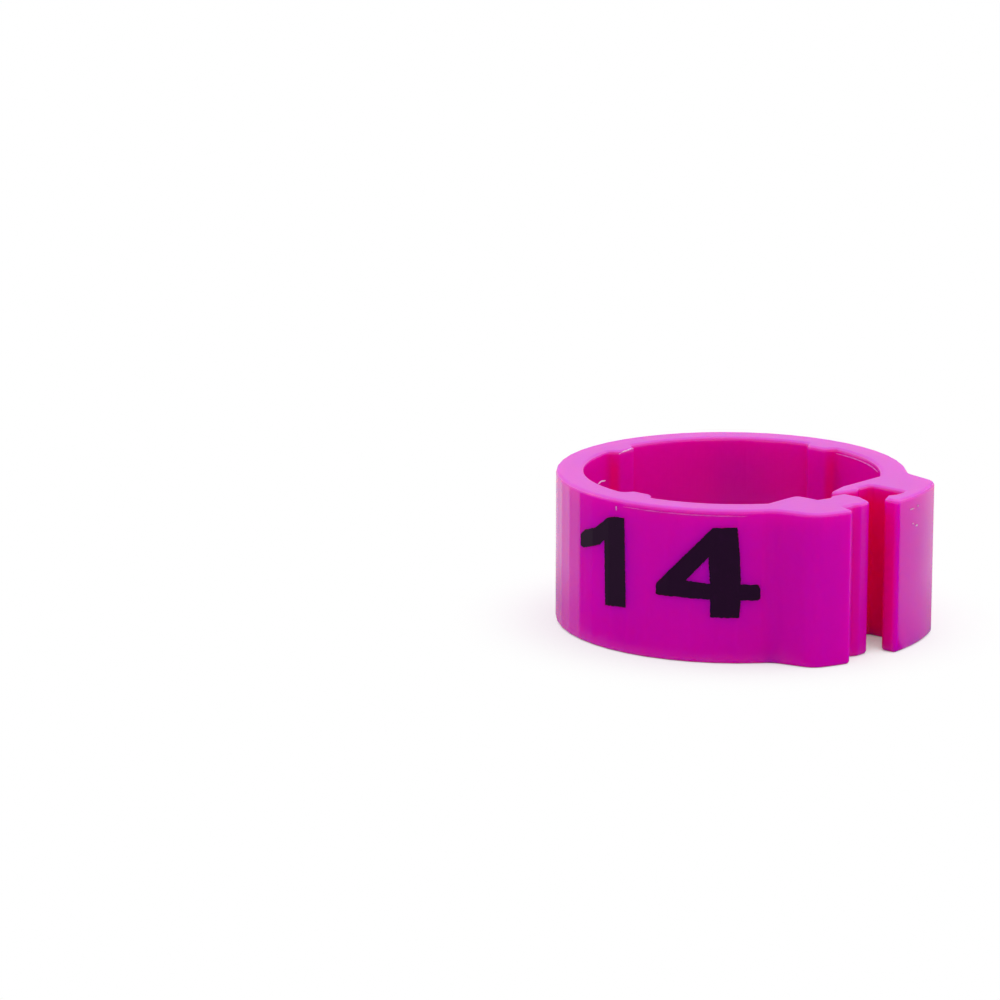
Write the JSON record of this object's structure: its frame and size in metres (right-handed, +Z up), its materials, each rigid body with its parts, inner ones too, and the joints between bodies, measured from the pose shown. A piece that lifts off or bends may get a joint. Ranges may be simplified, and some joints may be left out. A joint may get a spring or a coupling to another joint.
{
  "type": "poultry leg band",
  "caption": "Short springy plastic ring with a snap clasp at its ends and grip ribs in its bore, clipped round a hen's leg to mark the bird.",
  "frame": {"origin": "on the ring axis in the plane of the lower rim, the rim that the band stands on", "axes": "+Z up along the ring axis; +X from the ring axis through the clasp; +Y completes a right-handed frame, with the hook end of the clasp on the +Y side"},
  "size_m": [0.0206, 0.019, 0.0083],
  "materials": {
    "band_plastic": "satin moulded, slightly translucent, through coloured"
  },
  "bodies": {
    "root": {"band": "band_plastic"}
  },
  "joints": []
}
